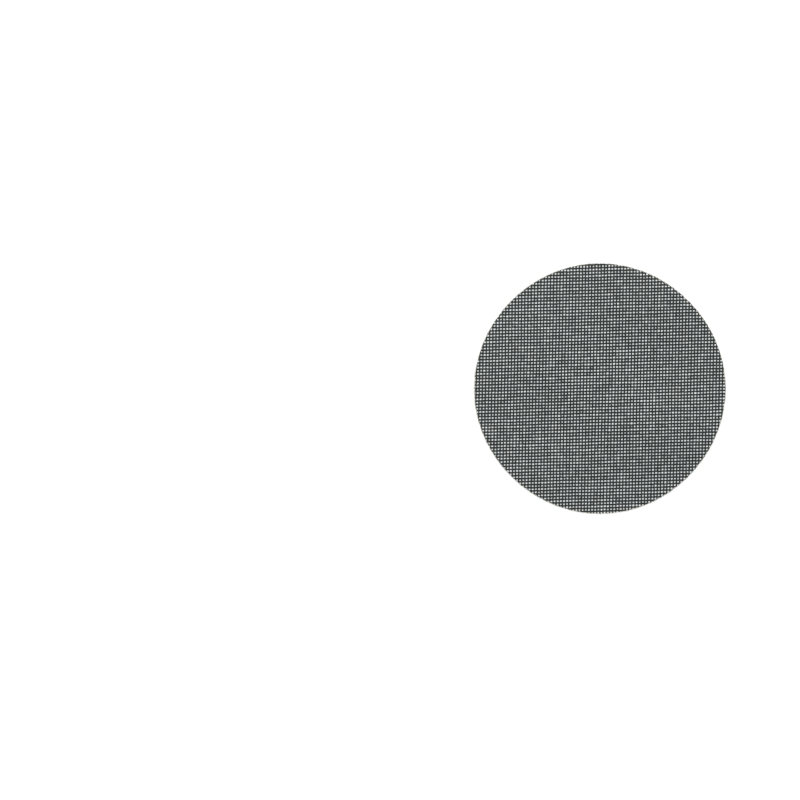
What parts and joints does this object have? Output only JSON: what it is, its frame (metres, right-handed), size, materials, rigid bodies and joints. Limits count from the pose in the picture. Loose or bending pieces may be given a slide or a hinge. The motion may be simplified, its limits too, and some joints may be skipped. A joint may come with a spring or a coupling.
{
  "type": "hook and loop sanding disc",
  "caption": "Round open-net sanding disc in dark grey silicon carbide grit, with a loop back for a hook-faced pad",
  "frame": {"origin": "centre of the disc, at the tips of the loops on its back", "axes": "+X along the crossways threads, +Z out of the side that sands"},
  "size_m": [0.125, 0.125, 0.001],
  "materials": {
    "coated_net": "matte, gritty"
  },
  "bodies": {
    "root": {"mesh_disc": "coated_net"}
  },
  "joints": []
}
